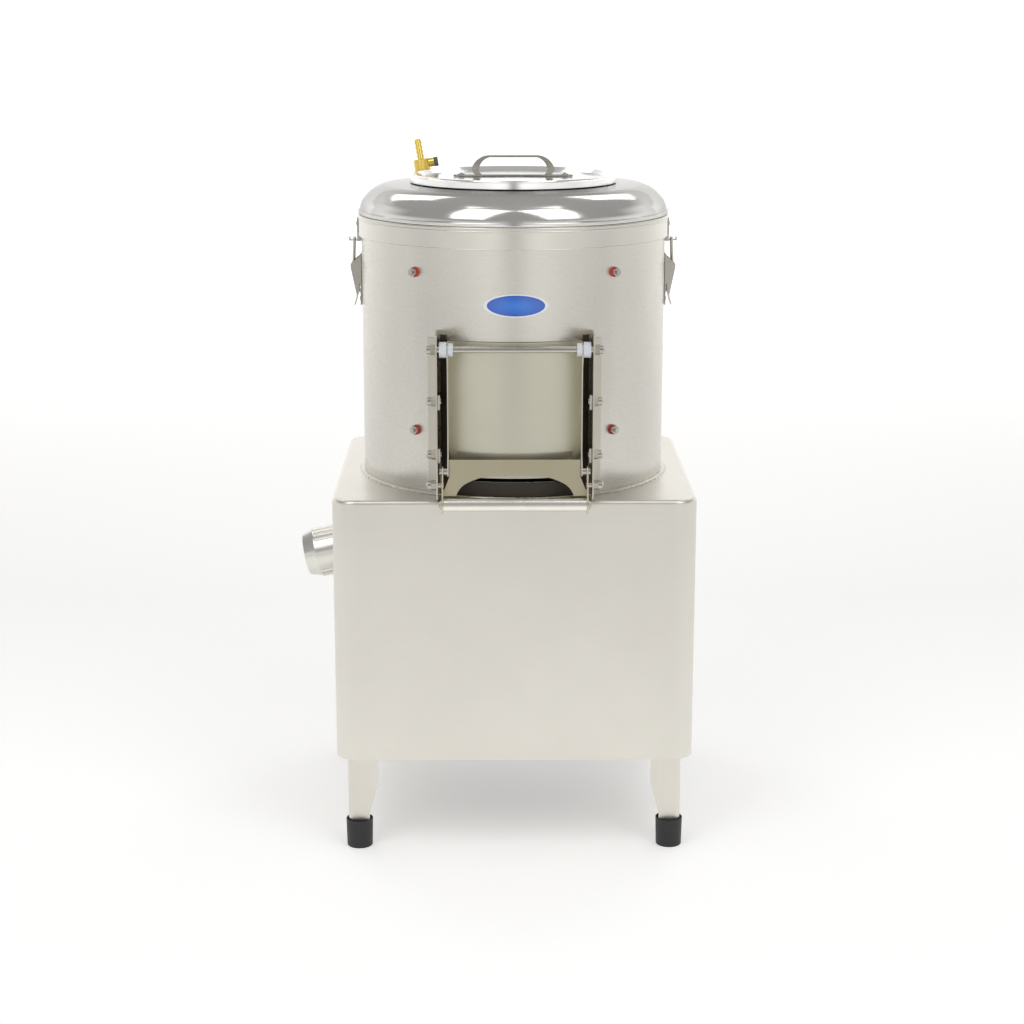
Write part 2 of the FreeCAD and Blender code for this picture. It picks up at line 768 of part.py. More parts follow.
node(
    "motor_shaft",
    rod(
        MOTOR_SHAFT_R, pulley_z + d.pulley_thick + 4 - (MOTOR_TOP - 39), d.motor_x, d.motor_y,
        MOTOR_TOP - 39,
    ),
)
RAIL_LOW, RAIL_HIGH = -192.5, -181
rails = [
    cut(
        box(3 - inner_w, inner_w - 3, y - 10, y + 10, RAIL_LOW, RAIL_HIGH),
        box(-inner_w - 1, inner_w + 1, y - 8, y + 8, RAIL_LOW - 1, RAIL_HIGH - 2),
    )
    for y in (d.motor_y - 72, d.motor_y + 72)
]
mount_plate = box(
    d.motor_x - 72, d.motor_x + 72, d.motor_y - 84, d.motor_y + 84, RAIL_HIGH, RAIL_HIGH + MOUNT_HIGH
)
node(
    "motor_mount",
    cut(fuse(mount_plate, *rails), rod(26, 20, d.motor_x, d.motor_y, RAIL_HIGH - 5)),
)


def belt_loop(extra):
    """The outline of the belt's run as one solid, around both pulleys and extra outside their grooves."""
    groove, low_z, high_z = 9, pulley_z + 9, pulley_z + d.pulley_thick - 9
    big, small = d.pulley_big - groove + extra, d.pulley_small - groove + extra
    span = math.hypot(number(d.motor_x), number(d.motor_y))
    bearing = math.atan2(number(d.motor_y), number(d.motor_x))
    lean = math.acos((number(d.pulley_big) - number(d.pulley_small)) / span)
    corners = []
    for angle in (bearing + lean, bearing - lean):
        corners.append((big * math.cos(angle), big * math.sin(angle)))
    for angle in (bearing - lean, bearing + lean):
        corners.append((d.motor_x + small * math.cos(angle), d.motor_y + small * math.sin(angle)))
    thick = high_z - low_z
    return fuse(
        rod(big, thick, z=low_z),
        rod(small, thick, d.motor_x, d.motor_y, low_z),
        plate("XY_Plane", corners, low_z, thick),
    )


node("drive_belt", cut(belt_loop(6.5), belt_loop(0.8)))

GLAND_R = 8
gland = fuse(
    rod(GLAND_R, 12, GLAND_X, half_d - 8, GLAND_Z, Y_AXIS),
    hexagon(13, 7, GLAND_X, half_d + 0.1, GLAND_Z, Y_AXIS),
    cone(12, 7.5, 14, GLAND_X, half_d + 7, GLAND_Z, Y_AXIS),
    hexagon(12, 5, GLAND_X, half_d - wall - 5.2, GLAND_Z, Y_AXIS),
)
node("cable_gland", cut(gland, rod(4.5, 60, GLAND_X, half_d - 20, GLAND_Z, Y_AXIS)))

# ---------------------------------------------------------------- controls on the right side

PANEL_THICK, BOX_DEEP = 2, 36
panel_x = half_w + 0.1
button_places = (("start_button", -24), ("stop_button", 24))
knob_z, button_z = -d.panel_z + 24, -d.panel_z - 26
panel = rounded(
    plate(
        "YZ_Plane",
        (
            (d.panel_y - 56, -d.panel_z - 56), (d.panel_y + 56, -d.panel_z - 56),
            (d.panel_y + 56, -d.panel_z + 56), (d.panel_y - 56, -d.panel_z + 56),
        ),
        panel_x,
        PANEL_THICK,
    ),
    8,
    lambda e: abs(e.tangentAt(e.FirstParameter).x) > 0.999,
)
button_holes = [
    rod(d.button_r + 0.3, 30, panel_x - 15, d.panel_y + y, button_z, X_AXIS) for _, y in button_places
]
bezels = [
    rod(d.button_r + 4, PANEL_THICK + 5, panel_x, d.panel_y + y, button_z, X_AXIS) for _, y in button_places
]
node(
    "control_panel",
    cut(fuse(panel, *bezels), rod(4.3, 30, panel_x - 15, d.panel_y, knob_z, X_AXIS), *button_holes),
)
box_out, box_wall = half_w - 0.1, 2
node(
    "control_box",
    cut(
        box(box_out - BOX_DEEP, box_out, d.panel_y - 47, d.panel_y + 47, -d.panel_z - 47, -d.panel_z + 47),
        box(
            box_out - BOX_DEEP + box_wall, box_out + 1, d.panel_y - 45, d.panel_y + 45, -d.panel_z - 45,
            -d.panel_z + 45,
        ),
    ),
)
for name, y in button_places:
    cap = cut(
        fuse(
            rod(d.button_r, 12, panel_x - 3, d.panel_y + y, button_z, X_AXIS),
            rod(4, 14, panel_x - 16, d.panel_y + y, button_z, X_AXIS),
        ),
        ball(30, panel_x + 8 + 30, d.panel_y + y, button_z),
    )
    node(name, cap)
KNOB_GAP = 1
knob_x = panel_x + PANEL_THICK + KNOB_GAP
knob = fuse(
    cone(d.knob_r, d.knob_r - 2, 5, knob_x, d.panel_y, knob_z, X_AXIS),
    cone(d.knob_r - 5, d.knob_r - 6.5, 13, knob_x + 4.5, d.panel_y, knob_z, X_AXIS),
    box(knob_x + 4.5, knob_x + 17.5, d.panel_y - 2, d.panel_y + 2, knob_z, knob_z + d.knob_r - 3),
    rod(4.2, 20, knob_x - 18, d.panel_y, knob_z, X_AXIS),
)
node("timer_knob", knob)

# ---------------------------------------------------------------- lid, loading cap and water inlet

dome_low = d.skirt_high
BEAD_HIGH = 6
crown_low = dome_low + BEAD_HIGH - 1
neck_r = d.mouth_r
crown = revolved(
    (
        (0, crown_low), (d.dome_r - 1.4, crown_low), (d.dome_r - 9.1, d.dome_top - 16.6),
        (d.dome_r - 32, d.dome_top - 2), (neck_r + 10, d.dome_top), (0, d.dome_top),
    ),
    {1: (24, -1), 2: (42, -1)},
)
under_crown = revolved(
    (
        (0, crown_low - 5), (d.dome_r - 2.9, crown_low - 5), (d.dome_r - 2.9, crown_low),
        (d.dome_r - 10.3, d.dome_top - 17.6), (d.dome_r - 32.5, d.dome_top - 2 - wall),
        (neck_r + 10, d.dome_top - wall), (0, d.dome_top - wall),
    ),
    {2: (22.5, -1), 3: (40.5, -1)},
)
bead = rounded(
    revolved(
        (
            (d.dome_r - 4, dome_low), (d.dome_r + 0.6, dome_low), (d.dome_r + 0.6, dome_low + BEAD_HIGH),
            (d.dome_r - 4, dome_low + BEAD_HIGH),
        )
    ),
    2,
    lambda e: e.BoundBox.XMax > number(d.dome_r) and not upright(e),
)
inlet_hole = rod(7.4, 30, -d.inlet_x, d.inlet_y, d.dome_top - 15)
dome = cut(
    fuse(crown, bead, ring(neck_r + 2, neck_r - 1, d.dome_top - 1, d.dome_top + 3)),
    under_crown,
    rod(neck_r, 60, z=d.dome_top - 30),
    inlet_hole,
)
node("lid_dome", dome)
node("lid_skirt", ring(d.skirt_r, d.drum_r + 1.2, d.skirt_low, d.skirt_high))
node("lid_gasket", ring(d.drum_r - 0.3, d.drum_r - 9, d.drum_height + 0.1, dome_low - 0.1))

cap_low = d.dome_top + 1
cap_high = cap_low + d.cap_rim
PANEL_DROP = 4.5
cap = revolved(
    (
        (d.cap_r - wall, cap_low), (d.cap_r, cap_low), (d.cap_r, cap_high - 2.5), (d.cap_r - 2.5, cap_high),
        (d.cap_r - 8, cap_high), (d.cap_r - 13, cap_high - PANEL_DROP), (0, cap_high - PANEL_DROP + 0.7),
        (0, cap_high - PANEL_DROP - 0.8), (d.cap_r - 13.5, cap_high - PANEL_DROP - wall),
        (d.cap_r - 8.5, cap_high - wall), (d.cap_r - 3, cap_high - wall), (d.cap_r - wall, cap_high - 3.2),
    ),
    {2: (2.5, 1)},
)
PAD_X, SCREW_X, HANDLE_WIDE, PAD_WIDE = 76, 66, 10, 14
pad_low = cap_high - PANEL_DROP + 0.75
cap_screw_holes = [rod(2.6, 20, x, 0, cap_low) for x in (-SCREW_X, SCREW_X)]
node("loading_cap", cut(cap, *cap_screw_holes))
HANDLE_HALF, HANDLE_TOP, STRAP, LEG_WIDE = 53, 403.2, 2.2, 9.4
BEND_X, BEND_Z, FOOT_IN, FOOT_OUT = 30, 386, 40, 47
foot_top = pad_low + 1.6
handle = plate(
    "XZ_Plane",
    (
        (-BEND_X, HANDLE_TOP), (-HANDLE_HALF, BEND_Z), (-FOOT_OUT, foot_top), (-FOOT_IN, foot_top),
        (-HANDLE_HALF + LEG_WIDE, BEND_Z), (-BEND_X, HANDLE_TOP - STRAP), (BEND_X, HANDLE_TOP - STRAP),
        (HANDLE_HALF - LEG_WIDE, BEND_Z), (FOOT_IN, foot_top), (FOOT_OUT, foot_top),
        (HANDLE_HALF, BEND_Z), (BEND_X, HANDLE_TOP),
    ),
    -HANDLE_WIDE / 2,
    HANDLE_WIDE,
    {0: (24, -1), 1: (9, -1), 3: (12, 1), 4: (18, 1), 6: (18, 1), 7: (12, 1), 9: (9, -1), 10: (24, -1)},
)
strap_base = cut(
    rounded(
        plate("XY_Plane", rectangle(PAD_X, PAD_WIDE / 2), pad_low, 1.7), 6, upright
    ),
    *cap_screw_holes,
)
node("cap_handle", fuse(handle, strap_base))
node(
    "cap_screws",
    group(*[
        fuse(
            rod(2.5, 8, x, 0, pad_low - 5),
            common(ball(6, x, 0, pad_low - 1.4), rod(4.4, 6, x, 0, pad_low + 1.75)),
        )
        for x in (-SCREW_X, SCREW_X)
    ]),
)

TAIL_BORE = 2.6
lean = FreeCAD.Rotation(Y_AXIS, -number(d.inlet_lean))
inlet_z = d.dome_top + 1.2


def at_inlet(shape):
    """Stand a piece drawn about its own axis on the dome, leaning to the left."""
    return put(group(shape), -d.inlet_x, d.inlet_y, inlet_z, lean)


BODY_LOW, BODY_HIGH, PORT_Z = 4.2, 21, 14.5
inlet_body = cut(
    fuse(
        rod(6.6, 24, z=BODY_LOW - 18),
        hexagon(11.5, 4.2, z=0.2),
        rounded(revolved(((0, BODY_LOW), (10.6, BODY_LOW), (10.2, BODY_HIGH), (0, BODY_HIGH))), 0.8,
                lambda e: not upright(e) and e.BoundBox.XMax > 9.5),
        rod(5.6, 16.5, z=PORT_Z, axis=X_AXIS),
    ),
    rod(TAIL_BORE, 80, z=-20),
    rod(4.1, 30, z=BODY_HIGH - 6),
    rod(3.6, 10, x=9.5, z=PORT_Z, axis=X_AXIS),
)
node("inlet_body", at_inlet(inlet_body))
BARBS, BARB_PITCH = 4, 6
hose_tail = cut(
    fuse(
        rod(4, BARBS * BARB_PITCH + 7, z=BODY_HIGH - 5),
        *[cone(5.1, 4, BARB_PITCH - 1, z=BODY_HIGH + 2 + i * BARB_PITCH) for i in range(BARBS)],
    ),
    rod(TAIL_BORE, 80, z=-20),
)
node("hose_tail", at_inlet(hose_tail))
node(
    "inlet_plug",
    at_inlet(fuse(rod(3.5, 8, x=10, z=PORT_Z, axis=X_AXIS), hexagon(6, 5, x=16.6, z=PORT_Z, axis=X_AXIS))),
)

# ---------------------------------------------------------------- draw latches at both sides of the drum

PIN_R, WIRE_R = 2, 1.5
HOOK_HALF, BAIL_Y, FLANGE_Y, EAR_Y, EAR_THICK = 5, 7.5, 10, 12, 1.5
bail_u, bail_z = d.latch_r + d.crank, d.latch_z - d.crank
CROSS_U, CROSS_Z = 202.8, 299.4


def latch_plate(points, start, thick, arcs=None):
    """A plate seen along Y: its points are distance from the drum's axis and height."""
    return plate("XZ_Plane", points, start, thick, arcs)


def both(make, y):
    """The same piece on both sides of the latch's middle."""
    return [make(-y), make(y)]


def mirrored(shape, side):
    """The right latch as drawn, or turned half round the drum for the left."""
    return shape if side > 0 else turned(shape, 180)


def catch():
    plate_low, plate_in = CROSS_Z - 3.6, d.skirt_r + 0.05
    hook_out = CROSS_U + 5.4
    strip = latch_plate(
        (
            (plate_in, plate_low), (hook_out + 1.5, plate_low), (hook_out + 1.5, CROSS_Z + 1.2),
            (hook_out, CROSS_Z + 1.2), (hook_out, plate_low + 1.5), (plate_in + 1.6, plate_low + 1.5),
            (plate_in + 1.6, 308), (plate_in, 308),
        ),
        -HOOK_HALF,
        HOOK_HALF * 2,
    )
    return fuse(
        strip,
        box(plate_in, plate_in + 1.6, -12, 12, plate_low, 326),
        box(d.drum_r + 0.3, plate_in + 0.5, -12, 12, plate_low, d.skirt_low - 0.3),
    )


def latch_base():
    back = d.drum_r + 0.3
    ears = both(
        lambda y: latch_plate(
            (
                (back, d.latch_z - 30), (back + 1.4, d.latch_z - 30), (d.latch_r + 4, d.latch_z - 5),
                (d.latch_r + 4, d.latch_z + 2), (d.latch_r + 1, d.latch_z + 5), (back, d.latch_z + 10),
            ),
            y + (EAR_THICK * -1 if y < 0 else 0),
            EAR_THICK,
        ),
        EAR_Y,
    )
    return cut(
        fuse(box(back, back + 1.4, -EAR_Y - 2, EAR_Y + 2, 214, 280), *ears),
        rod(PIN_R + d.fit, 60, d.latch_r, -30, d.latch_z, Y_AXIS),
    )


def rivets():
    """The low heads that hold a catch to the skirt and a latch base to the drum."""
    places = [(d.skirt_r + 1.65, y, 318) for y in (-7, 7)]
    places += [(d.drum_r + 1.7, y, z) for y in (-7, 7) for z in (222, 232)]
    return [rod(2.6, 1.1, out + 0.05, y, z, X_AXIS) for out, y, z in places]


def lever():
    u, z = d.latch_r, d.latch_z
    side_plates = both(
        lambda y: latch_plate(
            (
                (u - 3, z - 2), (u - 3, z + 2), (u, z + 3.6), (u + 4, z + 2.6), (u + 8, z - 1),
                (u + 8, z - 6), (u + 1, z - 40), (u - 2, z - 40),
            ),
            y + (0 if y > 0 else -EAR_THICK),
            EAR_THICK,
        ),
        FLANGE_Y,
    )
    front = latch_plate(
        (
            (u + 5, z - 14), (u + 6.4, z - 14), (u + 1, z - 40), (u + 1, z - 44), (u + 4, z - 54),
            (u + 2.6, z - 54), (u - 0.5, z - 44), (u - 0.5, z - 40),
        ),
        -FLANGE_Y - EAR_THICK,
        2 * (FLANGE_Y + EAR_THICK),
    )
    pin = rod(PIN_R, 2 * (EAR_Y + EAR_THICK + 1), u, -EAR_Y - EAR_THICK - 1, z, Y_AXIS)
    return cut(
        fuse(*side_plates, front, pin),
        rod(WIRE_R + d.fit, 60, bail_u, -30, bail_z, Y_AXIS),
    )


def bail():
    reach = math.hypot(CROSS_U - number(bail_u), CROSS_Z - number(bail_z))
    way = V(CROSS_U - number(bail_u), 0, CROSS_Z - number(bail_z))
    sides = both(lambda y: rod(WIRE_R, reach, bail_u, y, bail_z, way), BAIL_Y)
    ends = [
        rod(WIRE_R, FLANGE_Y + EAR_THICK - BAIL_Y, bail_u, low, bail_z, Y_AXIS)
        for low in (-FLANGE_Y - EAR_THICK, BAIL_Y)
    ]
    joints = [ball(WIRE_R, *place) for y in (-BAIL_Y, BAIL_Y)
              for place in ((bail_u, y, bail_z), (CROSS_U, y, CROSS_Z))]
    return fuse(rod(WIRE_R, 2 * BAIL_Y, CROSS_U, -BAIL_Y, CROSS_Z, Y_AXIS), *sides, *ends, *joints)


node("latch_catches", group(*[mirrored(catch(), side) for _, side in SIDES]))
node("latch_bases", group(*[mirrored(latch_base(), side) for _, side in SIDES]))
node("latch_rivets", group(*[mirrored(rivet, side) for _, side in SIDES for rivet in rivets()]))
for side_name, side in SIDES:
    node(f"latch_lever_{side_name}", mirrored(lever(), side))
    node(f"latch_bail_{side_name}", mirrored(bail(), side))

# ---------------------------------------------------------------- cheeks, hinge rod and their fasteners

STRIP_HALF, STRIP_THICK = 6.5, 1.5
NUT_AT, SHANK_END, LOOSE = d.cheek_x + d.cheek_sheet + 0.1, 104, 0.05


def cheek(side):
    inner = d.cheek_x if side > 0 else -d.cheek_x - d.cheek_sheet
    outline_points = (
        (-170.5, d.cheek_low), (-170.5, d.cheek_high), (-d.cheek_front + 3, d.cheek_high),
        (-d.cheek_front, d.cheek_high - 3), (-d.cheek_front, d.cheek_low + 8),
        (-d.cheek_front + 8, d.cheek_low),
    )
    strip = box(
        -STRIP_HALF, STRIP_HALF, -d.drum_r - 0.1 - STRIP_THICK, -d.drum_r - 0.1, 12, d.cheek_high - 10
    )
    return cut(
        fuse(plate("YZ_Plane", outline_points, inner, d.cheek_sheet), turned(strip, side * 30.9)),
        rod(d.rod_r + LOOSE, 260, -130, -d.rod_y, d.rod_z, X_AXIS),
        rod(BOLT_R + LOOSE, 260, -130, -d.catch_y, d.catch_z, X_AXIS),
        *[rod(BOLT_R + LOOSE, 260, -130, -y, z, X_AXIS) for y, z in CHEEK_BOLTS],
    )


node("side_cheeks", group(*[cheek(side) for _, side in SIDES]))
node("hinge_rod", rod(d.rod_r, 2 * SHANK_END, -SHANK_END, -d.rod_y, d.rod_z, X_AXIS))


def acorn_nut(side, bore, y, z):
    """A domed nut on the outside of a cheek."""
    out = V(side, 0, 0)
    dome = common(
        rod(5, 7, side * (NUT_AT + 6), y, z, out), ball(6.8, side * (NUT_AT + 5.6), y, z)
    )
    return cut(
        fuse(hexagon(6.4, 6.05, side * NUT_AT, y, z, out), dome),
        rod(bore + LOOSE, SHANK_END + 0.3 - NUT_AT + 1, side * (NUT_AT - 1), y, z, out),
    )


nut_places = [(d.rod_r, -d.rod_y, d.rod_z), (BOLT_R, -d.catch_y, d.catch_z)]
nut_places += [(BOLT_R, -y, z) for y, z in CHEEK_BOLTS]
node("acorn_nuts", group(*[acorn_nut(side, *place) for _, side in SIDES for place in nut_places]))
bolt_head = d.cheek_x - 2.75
node(
    "cheek_bolts",
    group(*[
        fuse(
            rod(4.4, 1.2, side * (bolt_head - 1.2), -y, z, V(side, 0, 0)),
            rod(BOLT_R, SHANK_END - bolt_head + 1, side * (bolt_head - 1), -y, z, V(side, 0, 0)),
        )
        for _, side in SIDES
        for y, z in CHEEK_BOLTS
    ]),
)
PIN_HEAD, PIN_LONG = 3.2, 7.15
node(
    "catch_pins",
    group(*[
        fuse(
            rod(PIN_HEAD, PIN_LONG, side * (d.cheek_x - PIN_LONG - LOOSE), -d.catch_y, d.catch_z,
                V(side, 0, 0)),
            rod(BOLT_R, SHANK_END - d.cheek_x + 2, side * (d.cheek_x - 2), -d.catch_y, d.catch_z,
                V(side, 0, 0)),
        )
        for _, side in SIDES
    ]),
)

# ---------------------------------------------------------------- door, its seal and its lock

SEAL_HALF, SEAL_LOW, SEAL_HIGH = 90.5, 3.2, 200
seal_in = d.drum_r + 0.1
door_seal = cut(
    common(ring(seal_in + SEAL_THICK, seal_in, SEAL_LOW, SEAL_HIGH), front_box(SEAL_HALF, 0, 220)),
    front_box(d.opening_half + 1, d.opening_low - 0.5, d.opening_high),
    front_box(84, d.opening_high + 8, 220),
)
node("door_seal", door_seal)

door_in, recess_in = d.door_r - wall, d.recess_r - wall
hollow_half = d.recess_half - wall
FLANGE = (
    (-179.5, d.door_high), (-215.5, d.door_high), (-215.5, d.rod_z - 9), (-203, 160), (-203, 56),
    (-215, 44), (-215, 33), (-d.lock_y, 31.3), (-196, 31.3), (-179.5, 60),
)
flange_low = {1: -d.door_half - wall, -1: d.door_half}
flanges = [plate("YZ_Plane", FLANGE, flange_low[turn], wall) for turn in (1, -1)]
curved = common(
    ring(d.door_r, door_in, d.door_low, d.door_high),
    front_box(d.door_half + 0.5, d.door_low - 5, d.door_high + 5),
)
recess_block = common(
    ring(d.door_r, recess_in, d.door_low, d.recess_top + wall),
    front_box(d.recess_half, d.door_low - 5, d.recess_top + wall + 5),
)
recess_space = common(
    ring(240, d.recess_r, d.door_low - 5, d.recess_top),
    front_box(hollow_half, d.door_low - 5, d.recess_top, 250),
)
node(
    "door_panel",
    cut(
        fuse(curved, recess_block, *flanges),
        recess_space,
        rod(d.rod_r + d.fit, 260, -130, -d.rod_y, d.rod_z, X_AXIS),
        rod(BOLT_R + LOOSE, 260, -130, -d.lock_y, d.lock_z, X_AXIS),
    ),
)
washers = []
for _, side in SIDES:
    for radius, start, long in ((9.5, d.door_half + wall + 0.2, 8.8), (8, d.door_half - 6, 5.8)):
        washers.append(
            tube(radius, d.rod_r + d.fit, long, side * start, -d.rod_y, d.rod_z, V(side, 0, 0))
        )
node("rod_washers", group(*washers))
PIVOT_R = 3
arm_out = d.arm_x + d.arm_sheet
spacer_in = d.door_half + wall + LOOSE
node(
    "lock_pivots",
    group(*[
        fuse(
            rod(5, d.arm_x - 0.3 - spacer_in, side * spacer_in, -d.lock_y, d.lock_z, V(side, 0, 0)),
            rod(PIVOT_R, 10, side * (d.door_half + 0.2), -d.lock_y, d.lock_z, V(side, 0, 0)),
            rod(4.6, 2.4, side * (arm_out + 0.4), -d.lock_y, d.lock_z, V(side, 0, 0)),
        )
        for _, side in SIDES
    ]),
)

tilt = FreeCAD.Rotation(X_AXIS, -number(d.lock_tilt))


def at_lock(shape):
    """Stand a piece drawn about the lock's pivot axis on the door, leaning in at the top."""
    return put(group(shape), 0, -d.lock_y, d.lock_z, tilt)


WEB_HALF, WEB_LOW, WEB_HIGH, WEB_FOOT = 79.7, -29.7, 14.2, 86.95
BAR_Y, BAR_Z = -6.4, -40.8
web = plate(
    "XZ_Plane",
    (
        (-WEB_FOOT, WEB_LOW), (-71.5, WEB_LOW), (-61, -15.7), (-28, -5.5), (28, -5.5), (61, -15.7),
        (71.5, WEB_LOW), (WEB_FOOT, WEB_LOW), (WEB_FOOT, -23), (85.6, -21.5), (WEB_HALF, -7),
        (WEB_HALF, WEB_HIGH), (-WEB_HALF, WEB_HIGH), (-WEB_HALF, -7), (-85.6, -21.5), (-WEB_FOOT, -23),
    ),
    -1,
    2,
    {1: (26, 1), 2: (80, 1), 4: (80, 1), 5: (26, 1)},
)
node("lock_plate", at_lock(web))


MOUTH_R = 5.1


def arm(side):
    """A side arm of the lock: round about its pivot and the bar, with a mouth for the catch pin."""
    low = d.arm_x if side > 0 else -arm_out
    run = math.hypot(BAR_Y, BAR_Z)
    near, far = 7, 11
    swing = math.asin((far - near) / run)
    along = math.atan2(BAR_Z, BAR_Y)
    points = []
    for way in (1, -1):
        angle = along + way * (math.pi / 2 + swing)
        ends = [
            (near * math.cos(angle), near * math.sin(angle)),
            (BAR_Y + far * math.cos(angle), BAR_Z + far * math.sin(angle)),
        ]
        points += ends if way > 0 else ends[::-1]
    blank = fuse(
        plate("YZ_Plane", points, low, d.arm_sheet),
        rod(near, d.arm_sheet, low, 0, 0, X_AXIS),
        rod(far, d.arm_sheet, low, BAR_Y, BAR_Z, X_AXIS),
    )
    mouth = ((1, -MOUTH_R - 16.5), (16, -MOUTH_R - 16.5), (16, -5), (6, -10.4), (1, MOUTH_R - 16.5))
    return cut(
        blank,
        plate("YZ_Plane", mouth, low - 2, d.arm_sheet + 4),
        rod(MOUTH_R, 10, low - 4, 1, -16.5, X_AXIS),
        rod(PIVOT_R + d.fit, 10, low - 4, 0, 0, X_AXIS),
        rod(PIVOT_R + LOOSE, 10, low - 4, BAR_Y, BAR_Z, X_AXIS),
    )


node("lock_arms", at_lock(group(*[arm(side) for _, side in SIDES])))
bar_half, STUD = d.arm_x - 0.2, 14
studs = [
    rod(PIVOT_R + LOOSE, STUD + 3, side * (bar_half - STUD), BAR_Y, BAR_Z, V(side, 0, 0))
    for _, side in SIDES
]
node("handle_bar", at_lock(cut(rod(d.bar_r, bar_half * 2, -bar_half, BAR_Y, BAR_Z, X_AXIS), *studs)))
end_nuts = []
for _, side in SIDES:
    out = V(side, 0, 0)
    end_nuts.append(
        fuse(
            common(
                rod(6, 3.6, side * (arm_out + 0.1), BAR_Y, BAR_Z, out),
                ball(7.5, side * (arm_out - 3.9), BAR_Y, BAR_Z),
            ),
            rod(PIVOT_R, STUD, side * (arm_out + 1 - STUD), BAR_Y, BAR_Z, out),
        )
    )
node("bar_end_nuts", at_lock(group(*end_nuts)))

# ---------------------------------------------------------------- check and write

doc.recompute()
for thing in doc.Objects:
    if "Invalid" in thing.State or "Error" in thing.State:
        raise SystemExit(f"{thing.Name} ({thing.Label}) failed: {thing.State}")
os.makedirs("parts", exist_ok=True)
for name, thing in nodes.items():
    shape = thing.Shape
    if shape.isNull() or not shape.isValid() or not shape.Solids:
        raise SystemExit(f"{name} has no valid solid")
    shape.exportStep(f"parts/{name}.step")
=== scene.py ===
import math

import bmesh
import bpy
from mathutils import Matrix, Vector


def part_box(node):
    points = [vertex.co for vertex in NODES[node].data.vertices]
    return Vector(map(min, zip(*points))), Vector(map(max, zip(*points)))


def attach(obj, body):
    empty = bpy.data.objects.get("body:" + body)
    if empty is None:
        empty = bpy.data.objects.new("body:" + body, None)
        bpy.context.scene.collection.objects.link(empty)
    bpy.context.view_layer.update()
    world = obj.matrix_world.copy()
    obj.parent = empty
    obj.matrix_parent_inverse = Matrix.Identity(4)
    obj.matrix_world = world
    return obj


# A stainless potato peeling machine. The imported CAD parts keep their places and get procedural
# materials; the pieces whose surface needs finer form than the CAD holds are modelled here around them.

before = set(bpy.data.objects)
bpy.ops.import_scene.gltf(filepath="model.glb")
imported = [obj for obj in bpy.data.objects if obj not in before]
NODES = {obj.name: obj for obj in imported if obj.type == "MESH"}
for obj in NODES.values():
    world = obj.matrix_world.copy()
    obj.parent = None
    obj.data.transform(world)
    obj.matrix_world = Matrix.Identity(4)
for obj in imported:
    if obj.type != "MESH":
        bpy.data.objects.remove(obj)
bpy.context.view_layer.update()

# ---------------------------------------------------------------- places read from the frame


def middle(node):
    low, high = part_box(node)
    return (low + high) / 2


def top_of(node):
    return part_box(node)[1].z


def bottom_of(node):
    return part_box(node)[0].z


AXIS = middle("drum_base_ring")
BASE_TOP = top_of("base_housing")
DRUM_R = (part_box("drum_base_ring")[1].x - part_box("drum_base_ring")[0].x) / 2 - 0.005
MM = 0.001
SHARP_EDGE = math.radians(40)

# ---------------------------------------------------------------- material building


